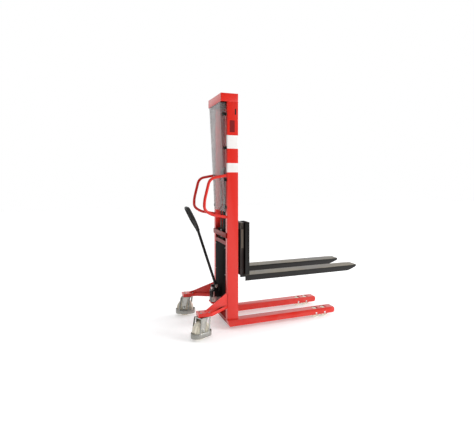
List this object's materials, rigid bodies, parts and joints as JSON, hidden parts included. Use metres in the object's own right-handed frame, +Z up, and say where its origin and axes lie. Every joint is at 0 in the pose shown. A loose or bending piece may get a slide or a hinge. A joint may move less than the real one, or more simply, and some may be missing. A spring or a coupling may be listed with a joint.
{
  "type": "pallet stacker",
  "caption": "Hand-pumped pallet stacker: fixed two-rail mast, chain-lifted fork carriage, straddled load legs, swivel castors with foot guards, pump tiller and push handles.",
  "frame": {"origin": "on the floor under the middle of the whole machine", "axes": "+X towards the fork tips, +Y towards the machine's left, +Z up"},
  "size_m": [1.6364, 0.8606, 2.053],
  "materials": {
    "red_paint": "glossy red machine paint",
    "black_paint": "glossy black machine paint",
    "black_rubber": "matt moulded",
    "clear_sheet": "clear polycarbonate sheet",
    "bright_steel": "ground and oiled",
    "dark_steel": "oiled dark steel",
    "zinc_plate": "bright zinc plate",
    "nylon": "cast nylon, cream white"
  },
  "bodies": {
    "frame": {"base_leg_right": "red_paint", "base_leg_left": "red_paint", "base_crossmember": "red_paint", "mast_foot_plate": "red_paint", "upright_right": "red_paint", "upright_left": "red_paint", "crown_cap": "red_paint", "mast_crossbar": "red_paint", "chain_anchor_bracket": "dark_steel", "chain_anchor_bolt": "bright_steel", "chain_rear_run": "dark_steel", "guard_panel": "clear_sheet", "rear_cover": "black_paint", "push_handle_right": "red_paint", "push_handle_left": "red_paint", "cylinder_tube": "black_paint", "cylinder_gland": "zinc_plate", "pump_body": "black_paint", "filler_plug": "zinc_plate", "tiller_pin": "zinc_plate", "rear_arm_right": "red_paint", "rear_arm_left": "red_paint", "castor_plate_right": "zinc_plate", "castor_plate_left": "zinc_plate", "load_roller_axle_right_rear": "bright_steel", "load_roller_axle_right_front": "bright_steel", "load_roller_axle_left_rear": "bright_steel", "load_roller_axle_left_front": "bright_steel"},
    "lift_rod": {"piston_rod": "bright_steel", "sheave_yoke": "dark_steel", "sheave_pin": "bright_steel", "chain_over_sheave": "dark_steel"},
    "sheave": {"chain_sheave": "dark_steel"},
    "carriage": {"carriage_frame": "black_paint", "fork_right": "black_paint", "fork_left": "black_paint", "chain_front_run": "dark_steel"},
    "tiller": {"tiller_tube": "black_paint", "tiller_grip": "black_rubber"},
    "trigger": {"release_trigger": "black_rubber"},
    "plunger": {"pump_plunger": "bright_steel", "pump_spring": "bright_steel"},
    "valve_lever": {"release_valve_lever": "zinc_plate"},
    "carriage_roller_lower_right": {"carriage_roller_lower_right": "dark_steel"},
    "carriage_roller_lower_left": {"carriage_roller_lower_left": "dark_steel"},
    "carriage_roller_upper_right": {"carriage_roller_upper_right": "dark_steel"},
    "carriage_roller_upper_left": {"carriage_roller_upper_left": "dark_steel"},
    "castor_right": {"castor_fork_right": "zinc_plate", "castor_guard_right": "zinc_plate", "castor_axle_right": "zinc_plate"},
    "castor_wheel_right": {"castor_wheel_right": "nylon"},
    "load_roller_right_rear": {"load_roller_right_rear": "nylon"},
    "load_roller_right_front": {"load_roller_right_front": "nylon"},
    "castor_left": {"castor_fork_left": "zinc_plate", "castor_guard_left": "zinc_plate", "castor_axle_left": "zinc_plate"},
    "castor_wheel_left": {"castor_wheel_left": "nylon"},
    "load_roller_left_rear": {"load_roller_left_rear": "nylon"},
    "load_roller_left_front": {"load_roller_left_front": "nylon"}
  },
  "joints": [
    {"name": "rod_lift", "type": "slide", "parent": "frame", "child": "lift_rod", "axis": [0, 0, 1], "range_m": [-0.1875, 0.5665]},
    {"name": "carriage_lift", "type": "slide", "parent": "lift_rod", "child": "carriage", "axis": [0, 0, 1], "range_m": [-0.1875, 0.5665]},
    {"name": "sheave_spin", "type": "hinge", "parent": "lift_rod", "child": "sheave", "pos_m": [-0.42878, 0, 1.3675], "axis": [0, -1, 0], "range_deg": [-250, 745]},
    {"name": "tiller_swing", "type": "hinge", "parent": "frame", "child": "tiller", "pos_m": [-0.52378, 0, 0.34], "axis": [0, -1, 0], "range_deg": [0, 48], "stiffness_Nm_per_rad": 20, "springref_deg": -20.05},
    {"name": "plunger_stroke", "type": "slide", "parent": "frame", "child": "plunger", "axis": [0, 0, -1], "range_m": [0, 0.027], "deforming": ["pump_spring"]},
    {"name": "trigger_squeeze", "type": "hinge", "parent": "tiller", "child": "trigger", "pos_m": [-0.70282, 0, 0.88916], "axis": [0, 1, 0], "range_deg": [0, 12], "stiffness_Nm_per_rad": 1.5, "springref_deg": -17.19},
    {"name": "valve_lever_turn", "type": "hinge", "parent": "frame", "child": "valve_lever", "pos_m": [-0.55378, -0.046, 0.262], "axis": [0, 1, 0], "range_deg": [0, 25]},
    {"name": "carriage_roller_lower_right_spin", "type": "hinge", "parent": "carriage", "child": "carriage_roller_lower_right", "pos_m": [-0.43178, -0.21, 0.508], "axis": [0, -1, 0], "range_deg": [-540, 1625]},
    {"name": "carriage_roller_lower_left_spin", "type": "hinge", "parent": "carriage", "child": "carriage_roller_lower_left", "pos_m": [-0.43178, 0.21, 0.508], "axis": [0, -1, 0], "range_deg": [-540, 1625]},
    {"name": "carriage_roller_upper_right_spin", "type": "hinge", "parent": "carriage", "child": "carriage_roller_upper_right", "pos_m": [-0.43178, -0.21, 0.802], "axis": [0, 1, 0], "range_deg": [-540, 1625]},
    {"name": "carriage_roller_upper_left_spin", "type": "hinge", "parent": "carriage", "child": "carriage_roller_upper_left", "pos_m": [-0.43178, 0.21, 0.802], "axis": [0, 1, 0], "range_deg": [-540, 1625]},
    {"name": "castor_swivel_right", "type": "hinge", "parent": "frame", "child": "castor_right", "pos_m": [-0.70278, -0.347, 0.19], "axis": [0, 0, 1], "continuous": true},
    {"name": "castor_spin_right", "type": "hinge", "parent": "castor_right", "child": "castor_wheel_right", "pos_m": [-0.7345, -0.36179, 0.075], "axis": [-0.4226, 0.9063, 0], "continuous": true},
    {"name": "load_roller_right_rear_spin", "type": "hinge", "parent": "frame", "child": "load_roller_right_rear", "pos_m": [0.36922, -0.2095, 0.04], "axis": [0, 1, 0], "continuous": true},
    {"name": "load_roller_right_front_spin", "type": "hinge", "parent": "frame", "child": "load_roller_right_front", "pos_m": [0.45722, -0.2095, 0.04], "axis": [0, 1, 0], "continuous": true},
    {"name": "castor_swivel_left", "type": "hinge", "parent": "frame", "child": "castor_left", "pos_m": [-0.70278, 0.347, 0.19], "axis": [0, 0, 1], "continuous": true},
    {"name": "castor_spin_left", "type": "hinge", "parent": "castor_left", "child": "castor_wheel_left", "pos_m": [-0.7345, 0.36179, 0.075], "axis": [0.4226, 0.9063, 0], "continuous": true},
    {"name": "load_roller_left_rear_spin", "type": "hinge", "parent": "frame", "child": "load_roller_left_rear", "pos_m": [0.36922, 0.2095, 0.04], "axis": [0, 1, 0], "continuous": true},
    {"name": "load_roller_left_front_spin", "type": "hinge", "parent": "frame", "child": "load_roller_left_front", "pos_m": [0.45722, 0.2095, 0.04], "axis": [0, 1, 0], "continuous": true}
  ],
  "couplings": [
    {"joint": "carriage_lift", "follows": "rod_lift", "ratio": 1},
    {"joint": "sheave_spin", "follows": "rod_lift", "rad_per_m": 22.7},
    {"joint": "plunger_stroke", "follows": "tiller_swing", "m_per_rad": 0.032},
    {"joint": "valve_lever_turn", "follows": "trigger_squeeze", "ratio": 2},
    {"joint": "carriage_roller_lower_right_spin", "follows": "rod_lift", "rad_per_m": 50},
    {"joint": "carriage_roller_lower_left_spin", "follows": "rod_lift", "rad_per_m": 50},
    {"joint": "carriage_roller_upper_right_spin", "follows": "rod_lift", "rad_per_m": 50},
    {"joint": "carriage_roller_upper_left_spin", "follows": "rod_lift", "rad_per_m": 50}
  ]
}
